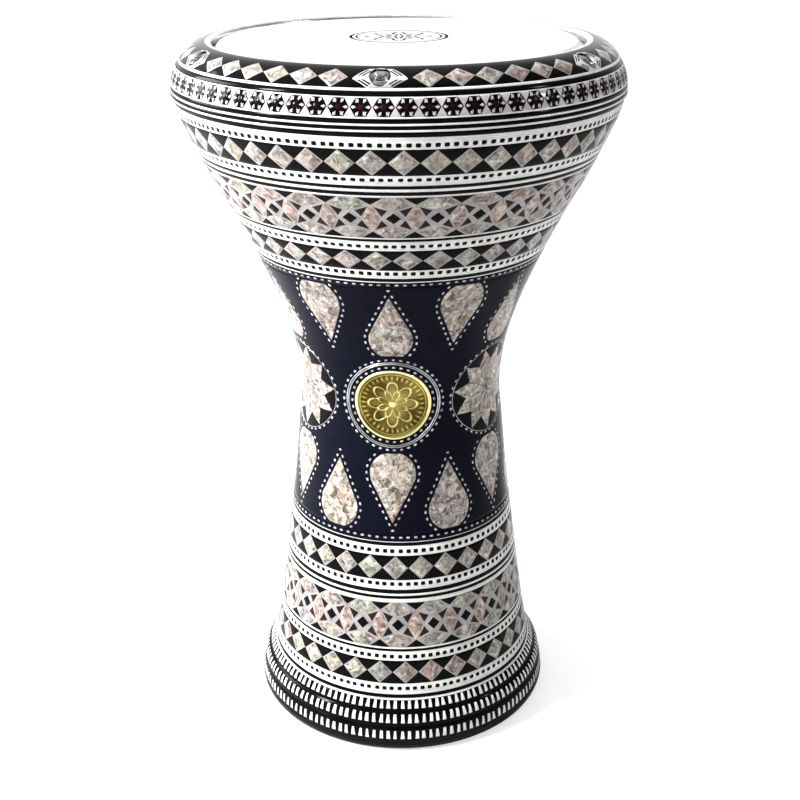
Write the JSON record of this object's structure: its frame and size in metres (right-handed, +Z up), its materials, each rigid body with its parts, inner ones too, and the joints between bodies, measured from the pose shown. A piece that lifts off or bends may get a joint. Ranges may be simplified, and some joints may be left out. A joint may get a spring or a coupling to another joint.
{
  "type": "darbuka",
  "caption": "Goblet hand drum with a flared inlaid shell, flat film head and a bolted clamp ring that tunes it.",
  "frame": {"origin": "on the drum's axis at the plane the foot stands on", "axes": "+Z up along the drum's axis from the foot to the head; -Y towards the front, where the medallion is"},
  "size_m": [0.2726, 0.2726, 0.445],
  "materials": {
    "cast_shell": "cast aluminium, black enamel on the foot's edge and inside",
    "ring_metal": "polished cast lip",
    "hoop_metal": "mill finish",
    "head_film": "smooth coated polyester film",
    "black_inlay": "black strip under clear lacquer",
    "white_inlay": "white strip with black dots under clear lacquer",
    "bead_inlay": "white beads under clear lacquer",
    "silver_inlay": "silver wire under clear lacquer",
    "pearl": "iridescent shell under clear lacquer",
    "rose_pearl": "rose-tinted iridescent shell under clear lacquer",
    "navy_lacquer": "deep navy high-gloss lacquer",
    "medallion_brass": "struck brass disc, polished",
    "mosaic": "hexagon mosaic under clear lacquer",
    "bolt_chrome": "bright plated steel"
  },
  "bodies": {
    "drum": {"shell": "cast_shell", "head_film": "head_film", "stripe_strip_a": "black_inlay", "dot_strip_a": "white_inlay", "diamond_band_a": "pearl", "dot_strip_b": "white_inlay", "stripe_strip_b": "black_inlay", "lattice_band_a": "rose_pearl", "stripe_strip_c": "black_inlay", "dot_strip_c": "white_inlay", "diamond_band_b": "pearl", "dot_strip_d": "white_inlay", "stripe_strip_d": "black_inlay", "navy_panel": "navy_lacquer", "stripe_strip_e": "black_inlay", "dot_strip_e": "white_inlay", "diamond_band_c": "pearl", "dot_strip_f": "white_inlay", "stripe_strip_f": "black_inlay", "lattice_band_b": "rose_pearl", "stripe_strip_g": "black_inlay", "dot_strip_g": "white_inlay", "diamond_band_d": "pearl", "dot_strip_h": "white_inlay", "stripe_strip_h": "black_inlay", "ladder_strip_a": "white_inlay", "ladder_strip_b": "white_inlay", "ladder_strip_c": "white_inlay", "drops_upper_main": "pearl", "drops_lower_main": "pearl", "drops_upper_between": "pearl", "drops_lower_between": "pearl", "drop_borders": "bead_inlay", "star_plates": "pearl", "star_grounds": "black_inlay", "star_borders": "bead_inlay", "medallion": "medallion_brass", "medallion_border": "silver_inlay"},
    "ring": {"tuning_ring": "ring_metal", "flesh_hoop": "hoop_metal", "ring_lower_stripes": "black_inlay", "ring_mosaic_band": "mosaic", "ring_upper_stripes": "black_inlay", "ring_diamond_band": "pearl", "bolt_surrounds": "silver_inlay"},
    "bolt_1": {"tuning_bolt_1": "bolt_chrome"},
    "bolt_2": {"tuning_bolt_2": "bolt_chrome"},
    "bolt_3": {"tuning_bolt_3": "bolt_chrome"},
    "bolt_4": {"tuning_bolt_4": "bolt_chrome"},
    "bolt_5": {"tuning_bolt_5": "bolt_chrome"},
    "bolt_6": {"tuning_bolt_6": "bolt_chrome"}
  },
  "joints": [
    {"name": "ring_draw", "type": "slide", "parent": "drum", "child": "ring", "axis": [0, 0, -1], "range_m": [-0.003, 0.0005]},
    {"name": "bolt_turn_1", "type": "hinge", "parent": "ring", "child": "bolt_1", "pos_m": [-0.00951, -0.12363, 0.43325], "axis": [0, 0, -1], "range_deg": [-1082, 182]},
    {"name": "bolt_turn_2", "type": "hinge", "parent": "ring", "child": "bolt_2", "pos_m": [0.10231, -0.07006, 0.43325], "axis": [0, 0, -1], "range_deg": [-1082, 182]},
    {"name": "bolt_turn_3", "type": "hinge", "parent": "ring", "child": "bolt_3", "pos_m": [0.11183, 0.05358, 0.43325], "axis": [0, 0, -1], "range_deg": [-1082, 182]},
    {"name": "bolt_turn_4", "type": "hinge", "parent": "ring", "child": "bolt_4", "pos_m": [0.00951, 0.12363, 0.43325], "axis": [0, 0, -1], "range_deg": [-1082, 182]},
    {"name": "bolt_turn_5", "type": "hinge", "parent": "ring", "child": "bolt_5", "pos_m": [-0.10231, 0.07006, 0.43325], "axis": [0, 0, -1], "range_deg": [-1082, 182]},
    {"name": "bolt_turn_6", "type": "hinge", "parent": "ring", "child": "bolt_6", "pos_m": [-0.11183, -0.05358, 0.43325], "axis": [0, 0, -1], "range_deg": [-1082, 182]}
  ],
  "couplings": [
    {"joint": "bolt_turn_1", "follows": "ring_draw", "rad_per_m": 6283.2},
    {"joint": "bolt_turn_2", "follows": "ring_draw", "rad_per_m": 6283.2},
    {"joint": "bolt_turn_3", "follows": "ring_draw", "rad_per_m": 6283.2},
    {"joint": "bolt_turn_4", "follows": "ring_draw", "rad_per_m": 6283.2},
    {"joint": "bolt_turn_5", "follows": "ring_draw", "rad_per_m": 6283.2},
    {"joint": "bolt_turn_6", "follows": "ring_draw", "rad_per_m": 6283.2}
  ]
}
